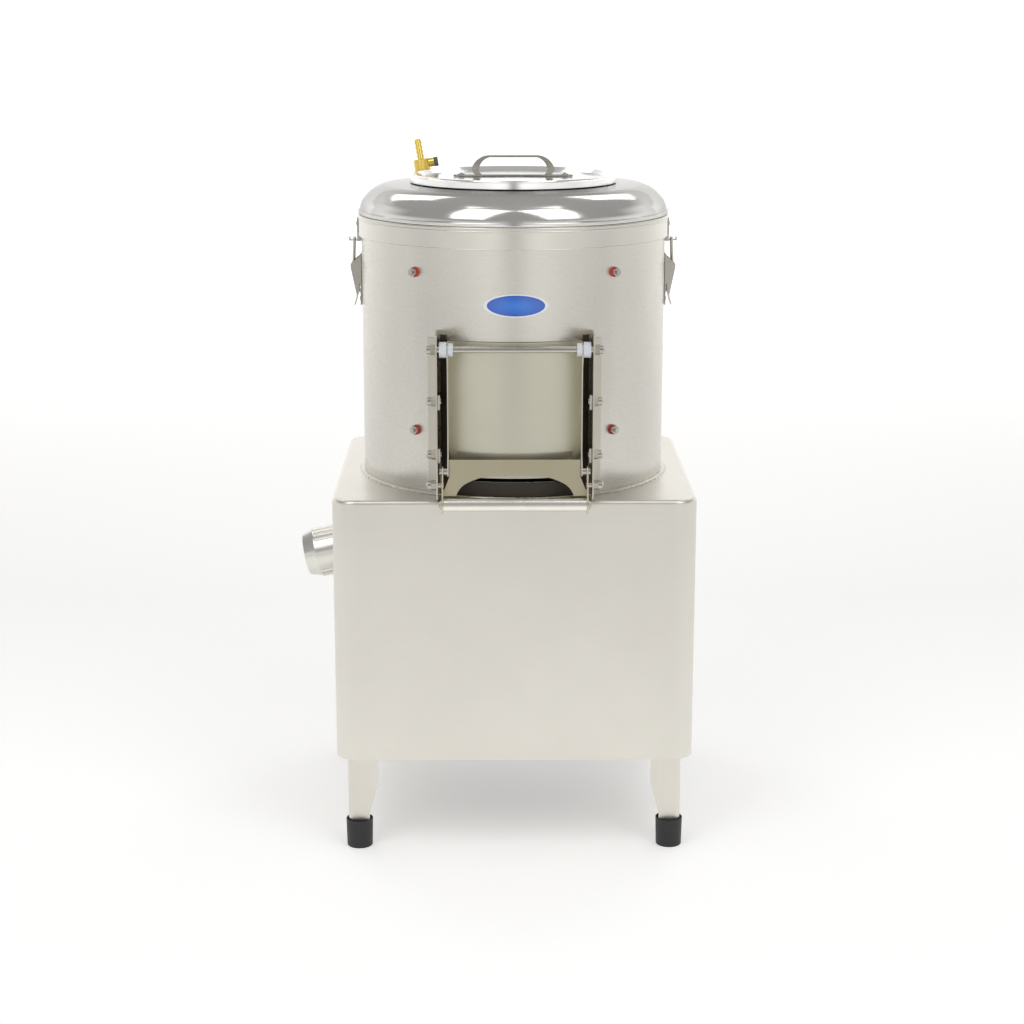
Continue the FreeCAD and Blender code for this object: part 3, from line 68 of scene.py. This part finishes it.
class Recipe:
    """A material's node tree, with short ways to add and join nodes."""

    def __init__(self, name):
        self.material = bpy.data.materials.new(name)
        self.material.use_nodes = True
        self.tree = self.material.node_tree
        self.shader = self.tree.nodes["Principled BSDF"]
        self.coords = self.tree.nodes.new("ShaderNodeTexCoord").outputs["Object"]

    def add(self, kind, **settings):
        made = self.tree.nodes.new(kind)
        for key, value in settings.items():
            setattr(made, key, value)
        return made

    def join(self, source, target):
        self.tree.links.new(source, target)

    def set(self, **values):
        for key, value in values.items():
            self.shader.inputs[key.replace("_", " ")].default_value = value

    def stretched(self, scale, turn=(0, 0, 0), origin=(0, 0, 0)):
        """The object's coordinates moved, turned and scaled."""
        mapping = self.add("ShaderNodeMapping", vector_type="POINT")
        mapping.inputs["Location"].default_value = [-o * s for o, s in zip(origin, scale)]
        mapping.inputs["Rotation"].default_value = turn
        mapping.inputs["Scale"].default_value = scale
        self.join(self.coords, mapping.inputs["Vector"])
        return mapping.outputs["Vector"]

    def around_drum(self, scale_round, scale_up):
        """Coordinates round the drum's axis and up it, for grain that follows the rolled sheet."""
        moved = self.stretched((1, 1, 1), origin=(AXIS.x, AXIS.y, 0))
        parts = self.add("ShaderNodeSeparateXYZ")
        self.join(moved, parts.inputs[0])
        angle = self.math("ARCTAN2", parts.outputs["Y"], parts.outputs["X"])
        joined = self.add("ShaderNodeCombineXYZ")
        self.join(self.math("MULTIPLY", angle, scale_round), joined.inputs["X"])
        self.join(self.math("MULTIPLY", parts.outputs["Z"], scale_up), joined.inputs["Y"])
        return joined.outputs["Vector"]

    def math(self, operation, a, b=None, clamp=False):
        made = self.add("ShaderNodeMath", operation=operation, use_clamp=clamp)
        for value, socket in ((a, made.inputs[0]), (b, made.inputs[1])):
            if value is None:
                continue
            if isinstance(value, (int, float)):
                socket.default_value = value
            else:
                self.join(value, socket)
        return made.outputs[0]

    def noise(self, vector, scale=1.0, detail=4, rough=0.55):
        made = self.add("ShaderNodeTexNoise")
        made.inputs["Scale"].default_value = scale
        made.inputs["Detail"].default_value = detail
        made.inputs["Roughness"].default_value = rough
        self.join(vector, made.inputs["Vector"])
        return made.outputs["Fac"]

    def spread(self, value, low, high, from_low=0.3, from_high=0.7):
        """Carry a texture's usual span onto a span of values."""
        made = self.add("ShaderNodeMapRange")
        spans = (("From Min", from_low), ("From Max", from_high), ("To Min", low), ("To Max", high))
        for key, number in spans:
            made.inputs[key].default_value = number
        self.join(value, made.inputs["Value"])
        return made.outputs["Result"]

    def mixed(self, factor, first, second):
        """A colour mix whose factor and two colours are sockets or plain values."""
        made = self.add("ShaderNodeMix", data_type="RGBA")
        for value, index in ((factor, 0), (first, 6), (second, 7)):
            socket = made.inputs[index]
            if isinstance(value, tuple):
                socket.default_value = (*value, 1)
            elif isinstance(value, (int, float)):
                socket.default_value = value
            else:
                self.join(value, socket)
        return made.outputs[2]

    def color(self, source):
        self.join(source, self.shader.inputs["Base Color"])

    def roughness(self, source):
        self.join(source, self.shader.inputs["Roughness"])

    def bump(self, height, strength, distance):
        made = self.add("ShaderNodeBump")
        made.inputs["Strength"].default_value = strength
        made.inputs["Distance"].default_value = distance
        self.join(height, made.inputs["Height"])
        self.join(made.outputs["Normal"], self.shader.inputs["Normal"])


def fill_ramp(ramp, stops):
    """Give a colour ramp the grey (position, level) stops."""
    elements = ramp.color_ramp.elements
    elements[0].position, elements[1].position = stops[0][0], stops[-1][0]
    for position, _ in stops[1:-1]:
        elements.new(position)
    for element, (_, level) in zip(elements, stops):
        element.color = (level, level * 0.995, level * 0.985, 1)


def brushed(name, tint, rough, grain, grain_size=1.0, smudge=0.05, anisotropy=0.0):
    """Stainless sheet with a fine grain: round the drum, flat along X or upright along Z."""
    made = Recipe(name)
    made.set(Metallic=1.0, Anisotropic=anisotropy)
    if grain == "round":
        lines = made.around_drum(2.0 / grain_size, 2600 / grain_size)
        tangent = made.add("ShaderNodeTangent", direction_type="RADIAL", axis="Z")
        made.join(tangent.outputs[0], made.shader.inputs["Tangent"])
    elif grain == "flat":
        lines = made.stretched((6 / grain_size, 900 / grain_size, 2200 / grain_size))
    else:
        lines = made.stretched((2200 / grain_size, 2200 / grain_size, 6 / grain_size))
    fine = made.noise(lines, 1.0, 3, 0.6)
    cloud = made.noise(made.stretched((5, 5, 5)), 1.0, 5, 0.6)
    dirt = made.noise(made.stretched((28, 28, 28)), 1.0, 6, 0.65)
    light = tuple(min(1, c * (1 + smudge)) for c in tint)
    dark = tuple(c * (1 - smudge * 1.4) for c in tint)
    base = made.mixed(made.spread(cloud, 0, 1), dark, light)
    streak = made.mixed(made.spread(fine, 0.0, 0.4), base, tuple(c * 0.95 for c in tint))
    made.color(streak)
    grained = made.spread(fine, rough - 0.015, rough + 0.02)
    made.roughness(made.math("ADD", grained, made.spread(dirt, -0.01, 0.015)))
    made.bump(fine, 0.06, 0.00005)
    return made.material


def polished(name, tint, rough, smudge=0.03, rim=0.86):
    """Mirror-bright steel with faint polishing haze and finger marks."""
    made = Recipe(name)
    made.set(Metallic=1.0, Specular_Tint=(rim, rim, rim, 1))
    cloud = made.noise(made.stretched((9, 9, 9)), 1.0, 5, 0.6)
    marks = made.noise(made.stretched((60, 60, 60)), 1.0, 6, 0.7)
    base = made.mixed(made.spread(cloud, 0, 1), tuple(c * (1 - smudge) for c in tint), tint)
    made.color(base)
    haze = made.math("ADD", made.spread(marks, rough, rough + 0.05), made.spread(cloud, 0.0, 0.03))
    made.roughness(haze)
    made.bump(made.noise(made.stretched((3.2, 3.2, 3.2)), 1.0, 2, 0.5), 0.25, 0.0006)
    return made.material


def plain(name, colour, rough, mottling=0.12, grain=600, bump=0.15, metallic=0.0, coat=0.0,
          depth=0.0001):
    """Rubber, plastic, paint or cast metal: a colour with a mottled tone and a fine tooth."""
    made = Recipe(name)
    made.set(Metallic=metallic, Coat_Weight=coat)
    tone = made.noise(made.stretched((14, 14, 14)), 1.0, 5, 0.6)
    tooth = made.noise(made.stretched((grain, grain, grain)), 1.0, 3, 0.6)
    darker = tuple(c * (1 - mottling) for c in colour)
    lighter = tuple(min(1, c * (1 + mottling)) for c in colour)
    body = made.mixed(made.spread(tone, 0, 1), darker, lighter)
    made.color(body)
    uneven = made.spread(tone, rough - 0.05, rough + 0.05)
    made.roughness(made.math("ADD", uneven, made.spread(tooth, -0.03, 0.03)))
    made.bump(tooth, bump, depth)
    return made.material


def grit(name):
    """Silicon carbide grains bonded to a plate: dark, sharp, with a few bright facets."""
    made = Recipe(name)
    cells = made.add("ShaderNodeTexVoronoi", feature="F1")
    cells.inputs["Scale"].default_value = 1.0
    made.join(made.stretched((620, 620, 620)), cells.inputs["Vector"])
    size = made.add("ShaderNodeSeparateColor")
    made.join(cells.outputs["Color"], size.inputs[0])
    grain = made.spread(size.outputs[0], 0.0, 1.0, 0.0, 1.0)
    patch = made.noise(made.stretched((18, 18, 18)), 1.0, 5, 0.6)
    base = made.mixed(grain, (0.035, 0.033, 0.032), (0.16, 0.15, 0.145))
    made.color(made.mixed(made.spread(patch, 0, 0.5), base, (0.10, 0.085, 0.07)))
    made.roughness(made.spread(grain, 0.45, 0.9, 0, 1))
    made.bump(cells.outputs["Distance"], 0.9, 0.0012)
    return made.material


def enamel_badge(name, centre, half_wide, half_high):
    """A blank domed badge: blue enamel inside a white border, a little lighter in the middle."""
    made = Recipe(name)
    shrunk = made.stretched((1 / half_wide, 1, 1 / half_high), origin=centre)
    parts = made.add("ShaderNodeSeparateXYZ")
    made.join(shrunk, parts.inputs[0])
    squares = [made.math("MULTIPLY", parts.outputs[k], parts.outputs[k]) for k in ("X", "Z")]
    reach = made.math("SQRT", made.math("ADD", *squares))
    inside = made.math("LESS_THAN", reach, 0.90)
    glow = made.spread(reach, 1, 0, 0.0, 0.9)
    fleck = made.noise(made.stretched((900, 900, 900)), 1.0, 2, 0.5)
    blue = made.mixed(glow, (0.014, 0.09, 0.48), (0.035, 0.21, 0.74))
    blue = made.mixed(made.spread(fleck, 0, 0.08), blue, (0.10, 0.28, 0.75))
    made.color(made.mixed(inside, (0.80, 0.81, 0.82), blue))
    made.set(Coat_Weight=0.8, Coat_Roughness=0.06)
    made.roughness(made.spread(fleck, 0.26, 0.34))
    made.bump(fleck, 0.05, 0.00005)
    return made.material


def floor_paper(name):
    """Pale seamless studio paper with a faint fibre. Its own glow is painted light: dimmer in a band in
    front of the machine and brighter towards the back wall.
    """
    made = Recipe(name)
    fibre = made.noise(made.stretched((300, 300, 300)), 1.0, 4, 0.6)
    parts = made.add("ShaderNodeSeparateXYZ")
    made.join(made.coords, parts.inputs[0])
    # painted light: the paper glows by its place from front to back
    ramp = made.add("ShaderNodeValToRGB")
    fill_ramp(ramp, PAPER_GLOW)
    made.join(made.spread(parts.outputs["Y"], 0, 1, -4, 6), ramp.inputs["Fac"])
    made.join(ramp.outputs["Color"], made.shader.inputs["Emission Color"])
    made.color(made.mixed(made.spread(fibre, 0, 1), (0.86, 0.86, 0.855), (0.88, 0.88, 0.878)))
    made.set(Roughness=0.85, Emission_Strength=1.0, Specular_IOR_Level=0.15)
    made.bump(fibre, 0.05, 0.0001)
    return made.material


# painted light: levels of the paper's own glow, from the front edge to the back wall
PAPER_GLOW = ((0.0, 0.20), (0.22, 0.16), (0.34, 0.36), (0.50, 0.32), (0.70, 0.52), (1.0, 0.66))
STEEL = (0.74, 0.715, 0.655)
BRIGHT = (0.80, 0.775, 0.73)
WARM = (0.66, 0.63, 0.54)

badge_low, badge_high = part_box("badge_plate")
LOOKS = {
    "housing": brushed("housing steel", (0.76, 0.735, 0.675), 0.34, "flat", smudge=0.03),
    "frame": brushed("frame steel", STEEL, 0.38, "upright", smudge=0.05),
    "drum": brushed("drum steel", (0.71, 0.69, 0.635), 0.27, "round", anisotropy=0.6, smudge=0.03),
    "skirt": brushed("skirt steel", (0.72, 0.70, 0.645), 0.24, "round", anisotropy=0.6, smudge=0.03),
    "mirror": polished("mirror steel", (0.76, 0.745, 0.72), 0.085, rim=0.60),
    # painted light: the cap is the dome's polished steel made far brighter, standing in for the white it
    # reflects
    "cap": polished("cap steel with painted light", (0.98, 0.975, 0.965), 0.10),
    "bright": polished("bright steel", (0.56, 0.535, 0.48), 0.14, 0.12),
    # painted shade: the handle is a much darker copy of the polished steel, standing in for the darker
    # reflections on its legs
    "handle": polished("handle steel with painted shade", (0.40, 0.375, 0.33), 0.24, 0.12, rim=0.6),
    "bar": polished("bar steel", (0.90, 0.87, 0.81), 0.16, 0.05),
    "door": brushed("door steel", (0.62, 0.60, 0.50), 0.36, "flat", smudge=0.06),
    "lock": brushed("lock steel", (0.64, 0.585, 0.42), 0.36, "flat", smudge=0.08),
    "cheek": brushed("cheek steel", (0.60, 0.565, 0.49), 0.30, "upright", smudge=0.06),
    "pan": brushed("pan steel", (0.60, 0.59, 0.56), 0.36, "flat", smudge=0.08),
    "spout": polished("spout steel", (0.78, 0.76, 0.71), 0.20, 0.06),
    "shaft": brushed("ground shaft", (0.62, 0.61, 0.60), 0.26, "round", smudge=0.05),
    "cast": plain("cast iron", (0.20, 0.20, 0.21), 0.62, 0.25, 350, 0.5, 0.6, depth=0.0004),
    "motor": plain("motor paint", (0.22, 0.26, 0.30), 0.42, 0.12, 420, 0.3, 0.0, 0.15, 0.0002),
    "grit": grit("abrasive grit"),
    "foot": plain("foot rubber", (0.016, 0.016, 0.018), 0.50, 0.25, 500, 0.35),
    "seal": plain("seal rubber", (0.040, 0.029, 0.020), 0.45, 0.25, 500, 0.3),
    "belt": plain("belt rubber", (0.022, 0.022, 0.022), 0.70, 0.3, 900, 0.4),
    "fibre": plain("red fibre", (0.50, 0.045, 0.03), 0.5, 0.2, 900, 0.3),
    "nylon": plain("white nylon", (0.66, 0.69, 0.74), 0.38, 0.05, 700, 0.15, 0.0, 0.1),
    "brass": polished("brass", (0.95, 0.70, 0.17), 0.18, 0.12),
    "plug": plain("grey plug", (0.10, 0.095, 0.085), 0.35, 0.2, 700, 0.2),
    "badge": enamel_badge(
        "badge enamel", tuple((badge_low + badge_high) / 2), (badge_high.x - badge_low.x) / 2,
        (badge_high.z - badge_low.z) / 2),
    "panel": brushed("panel steel", (0.62, 0.61, 0.58), 0.34, "upright", smudge=0.04),
    "black": plain("black plastic", (0.025, 0.025, 0.027), 0.45, 0.2, 600, 0.25),
    "green": plain("green plastic", (0.02, 0.34, 0.07), 0.30, 0.08, 700, 0.1, 0.0, 0.3),
    "red": plain("red plastic", (0.55, 0.02, 0.015), 0.30, 0.08, 700, 0.1, 0.0, 0.3),
}
NODE_LOOKS = {
    "housing": ("base_housing",),
    "frame": ("bottom_frame", "legs", "motor_mount"),
    "drum": ("drum_shell", "drum_base_ring"),
    "skirt": ("lid_skirt",),
    "mirror": ("lid_dome",),
    "cap": ("loading_cap",),
    "bright": (
        "cap_screws", "latch_catches", "latch_bases", "latch_lever_left", "latch_lever_right",
        "latch_bail_left", "latch_bail_right", "hinge_rod", "acorn_nuts", "cheek_bolts", "catch_pins",
        "lock_pivots", "bar_end_nuts", "liner_bolts", "liner_nuts", "latch_rivets"),
    "handle": ("cap_handle",),
    "bar": ("handle_bar",),
    "door": ("door_panel",),
    "lock": ("lock_plate", "lock_arms"),
    "cheek": ("side_cheeks",),
    "pan": ("sump_pan", "drain_pipe"),
    "spout": ("spout_coupling",),
    "shaft": ("drive_spindle", "motor_shaft", "spindle_bearings"),
    "cast": ("bearing_housing", "spindle_pulley", "motor_pulley"),
    "motor": ("motor",),
    "grit": ("abrasive_liner", "abrasive_disc"),
    "foot": ("rubber_feet",),
    "seal": ("door_seal", "lid_gasket", "shaft_seal"),
    "belt": ("drive_belt",),
    "fibre": ("liner_sealing_washers",),
    "nylon": ("rod_washers",),
    "brass": ("inlet_body", "hose_tail"),
    "plug": ("inlet_plug",),
    "badge": ("badge_plate",),
    "panel": ("control_panel",),
    "black": ("control_box", "cable_gland", "timer_knob"),
    "green": ("start_button",),
    "red": ("stop_button",),
}


for look, names in NODE_LOOKS.items():
    for name in names:
        for slot in NODES[name].material_slots:
            slot.material = LOOKS[look]

# ---------------------------------------------------------------- fine pieces


def add_piece(name, form, look, body):
    """Put a finished bmesh in the scene as a smooth piece that rides on a body."""
    mesh = bpy.data.meshes.new(name)
    form.to_mesh(mesh)
    form.free()
    for face in mesh.polygons:
        face.use_smooth = True
    mesh.set_sharp_from_angle(angle=SHARP_EDGE)
    piece = bpy.data.objects.new(name, mesh)
    mesh.materials.append(LOOKS[look])
    bpy.context.scene.collection.objects.link(piece)
    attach(piece, body)


def swept_ring(form, radius, height, section, ripple=0.0, steps=360):
    """A closed ring round the drum's axis whose section is (outward, upward) points in mm."""
    loops = []
    for i in range(steps):
        angle = 2 * math.pi * i / steps
        swell = 1 + ripple * (math.sin(angle * 97) + 0.6 * math.sin(angle * 61 + 1.3))
        loop = []
        for out, up in section:
            reach = radius + out * MM * swell
            x, y = AXIS.x + reach * math.cos(angle), AXIS.y + reach * math.sin(angle)
            loop.append(form.verts.new((x, y, height + up * MM * swell)))
        loops.append(loop)
    count = len(section)
    for i, loop in enumerate(loops):
        after = loops[(i + 1) % steps]
        for k in range(count):
            form.faces.new((loop[k], after[k], after[(k + 1) % count], loop[(k + 1) % count]))


def round_section(radius, out, steps=10):
    angles = [2 * math.pi * k / steps for k in range(steps)]
    return [(out + radius * math.cos(a), radius * math.sin(a)) for a in angles]


def add_lid_beads():
    """Two rolled beads under the dome and a faint one at the skirt's foot."""
    skirt_low, skirt_high = bottom_of("lid_skirt"), top_of("lid_skirt")
    outside = (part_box("lid_skirt")[1].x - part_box("lid_skirt")[0].x) / 2
    form = bmesh.new()
    swept_ring(form, outside, skirt_high - 1.6 * MM, round_section(1.3, -0.2))
    swept_ring(form, outside, skirt_high - 5.2 * MM, round_section(1.0, -0.3))
    swept_ring(form, outside, skirt_low + 0.6 * MM, round_section(0.6, -0.15))
    add_piece("lid_seam_beads", form, "skirt", "frame")


def add_base_weld():
    """The ripple-topped weld that joins the drum's foot ring to the base."""
    form = bmesh.new()
    section = [(-0.8, 1.4), (0.3, 1.1), (1.1, 0.5), (1.5, 0.02), (-0.8, 0.02)]
    swept_ring(form, DRUM_R + 5.2 * MM, BASE_TOP, section, ripple=0.10, steps=720)
    add_piece("drum_foot_weld", form, "bright", "frame")


def block(form, centre, across, up, along, half):
    """A small block whose top is a little smaller than its foot."""
    corners = []
    for level, shrink in ((0, 1.0), (1, 0.72)):
        for a, b in ((-1, -1), (1, -1), (1, 1), (-1, 1)):
            foot = centre + across * (a * half[0] * shrink) + up * (b * half[1] * shrink)
            corners.append(form.verts.new(foot + along * (level * half[2])))
    for quad in ((0, 1, 2, 3), (7, 6, 5, 4), (0, 4, 5, 1), (1, 5, 6, 2), (2, 6, 7, 3), (3, 7, 4, 0)):
        form.faces.new([corners[k] for k in quad])


def add_dial_marks():
    """Raised minute marks round the timer knob on the control panel."""
    knob = middle("timer_knob")
    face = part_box("control_panel")[0].x + 2 * MM
    reach = (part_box("timer_knob")[1].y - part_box("timer_knob")[0].y) / 2 + 4.5 * MM
    form = bmesh.new()
    for step in range(11):
        angle = math.radians(90 - 27 * step)
        away = Vector((0, math.cos(angle), math.sin(angle)))
        round_way = Vector((0, -math.sin(angle), math.cos(angle)))
        long = 2.6 if step % 5 == 0 else 1.7
        block(form, Vector((face, knob.y, knob.z)) + away * reach, away, round_way, Vector((1, 0, 0)),
              (long * MM, 0.5 * MM, 0.35 * MM))
    bmesh.ops.recalc_face_normals(form, faces=form.faces)
    add_piece("timer_dial_marks", form, "black", "frame")


add_lid_beads()
add_base_weld()
add_dial_marks()

# ---------------------------------------------------------------- camera, light and floor


def studio_world():
    """A grey room overhead, a white wall behind the machine, and a paler band round it at eye height."""
    world = bpy.data.worlds.new("studio")
    world.use_nodes = True
    tree = world.node_tree

    def mapped(value, low, high):
        made = tree.nodes.new("ShaderNodeMapRange")
        made.inputs["From Min"].default_value, made.inputs["From Max"].default_value = low, high
        tree.links.new(value, made.inputs["Value"])
        return made.outputs["Result"]

    def ramp(value, stops):
        made = tree.nodes.new("ShaderNodeValToRGB")
        fill_ramp(made, stops)
        tree.links.new(value, made.inputs["Fac"])
        return made.outputs["Color"]

    def mixed(factor, first, second):
        made = tree.nodes.new("ShaderNodeMix")
        made.data_type = "RGBA"
        for value, index in ((factor, 0), (first, 6), (second, 7)):
            tree.links.new(value, made.inputs[index])
        return made.outputs[2]

    place = tree.nodes.new("ShaderNodeTexCoord")
    parts = tree.nodes.new("ShaderNodeSeparateXYZ")
    tree.links.new(place.outputs["Generated"], parts.inputs[0])
    x, y, z = (parts.outputs[k] for k in "XYZ")
    bearing = tree.nodes.new("ShaderNodeMath")
    bearing.operation = "ARCTAN2"
    tree.links.new(x, bearing.inputs[0])
    tree.links.new(y, bearing.inputs[1])
    turned = tree.nodes.new("ShaderNodeMath")
    turned.operation = "PINGPONG"
    tree.links.new(bearing.outputs[0], turned.inputs[0])
    turned.inputs[1].default_value = math.pi
    height = mapped(z, -1, 1)
    room = mixed(mapped(y, *WALL_EDGE), ramp(height, ROOM_LEVELS), ramp(height, WALL_LEVELS))
    band = ramp(mapped(turned.outputs[0], math.pi, math.pi / 2), BAND_LEVELS)
    low = mapped(z, *BAND_TOP)
    tree.links.new(mixed(low, band, room), tree.nodes["Background"].inputs["Color"])
    bpy.context.scene.world = world


def soft_light(name, azimuth, elevation, distance, wide, high, power, target):
    """A rectangular soft light aimed at a point. Azimuth 0 is in front, positive to the right."""
    light = bpy.data.lights.new(name, "AREA")
    light.shape = "RECTANGLE"
    light.size, light.size_y, light.energy = wide, high, power
    lamp = bpy.data.objects.new(name, light)
    a, e = math.radians(azimuth), math.radians(elevation)
    away = Vector((math.sin(a) * math.cos(e), -math.cos(a) * math.cos(e), math.sin(e)))
    lamp.location = Vector(target) + away * distance
    lamp.rotation_euler = (-away).to_track_quat("-Z", "Y").to_euler()
    lamp.visible_camera = False
    bpy.context.scene.collection.objects.link(lamp)


def add_camera():
    """The camera fitted to the base's edges and the drum's outline in the photograph."""
    camera = bpy.data.objects.new("camera", bpy.data.cameras.new("camera"))
    camera.data.lens, camera.data.sensor_width = CAMERA_LENS, CAMERA_SENSOR
    camera.data.clip_end = 100
    x, y, z = CAMERA_PLACE
    camera.location = (AXIS.x + x * MM, AXIS.y + y * MM, BASE_TOP + z * MM)
    down, aside, roll = (math.radians(angle) for angle in CAMERA_AIM)
    turn = Matrix.Rotation(-aside, 4, "Z") @ Matrix.Rotation(math.pi / 2 - down, 4, "X")
    camera.rotation_euler = (turn @ Matrix.Rotation(roll, 4, "Z")).to_euler()
    bpy.context.scene.collection.objects.link(camera)
    bpy.context.scene.camera = camera


def add_floor():
    """A wide sheet of paper: level around the machine, sweeping up far behind it."""
    half, front, back, radius, rise = 9.0, 3.6, 6.0, 2.0, 4.0
    profile = [(-front, 0.0), (back, 0.0)]
    for i in range(1, 13):
        angle = math.pi / 2 * i / 12
        profile.append((back + radius * math.sin(angle), radius * (1 - math.cos(angle))))
    profile.append((back + radius, rise))
    mesh = bpy.data.meshes.new("paper sweep")
    rows = [[(x, y, z) for y, z in profile] for x in (-half, half)]
    count = len(profile)
    faces = [(i, count + i, count + i + 1, i + 1) for i in range(count - 1)]
    mesh.from_pydata(rows[0] + rows[1], [], faces)
    for face in mesh.polygons:
        face.use_smooth = True
    floor = bpy.data.objects.new("paper_sweep", mesh)
    floor.data.materials.append(floor_paper("studio paper"))
    bpy.context.scene.collection.objects.link(floor)


ROOM_LEVELS = ((0.0, 0.80), (0.50, 0.60), (0.60, 0.38), (0.90, 0.38), (1.0, 0.42))
WALL_LEVELS = ((0.0, 1.0), (0.50, 1.0), (0.72, 0.95), (0.80, 0.42), (1.0, 0.42))
BAND_LEVELS = (
    (0.0, 0.25), (0.03, 0.45), (0.09, 1.05), (0.20, 1.10), (0.40, 0.90), (0.70, 0.90), (1.0, 1.0))
BAND_TOP = (0.06, 0.20)
WALL_EDGE = (0.0, 0.45)
CAMERA_LENS, CAMERA_SENSOR = 74.01, 36
CAMERA_PLACE = (-32.2, -2706.4, 584.7)
CAMERA_AIM = (13.454, 0.657, 0.036)
LIGHT_DISTANCE = 2.4

studio_world()
add_camera()
add_floor()
LIGHT_AT = (AXIS.x, AXIS.y, BASE_TOP + 0.2)
for name, azimuth, elevation, wide, high, level in (
    ("box rear left", -140, 47, 0.72, 0.95, 1.8),
    ("box left", -34, 45, 1.1, 2.4, 1.6),
    ("box right", 36, 45, 1.1, 2.4, 1.6),
    ("box rear right", 142, 47, 0.72, 0.95, 1.8),
):
    power = level * math.pi * wide * high
    soft_light(name, azimuth, elevation, LIGHT_DISTANCE, wide, high, power, LIGHT_AT)
bpy.context.scene.view_settings.view_transform = "Standard"
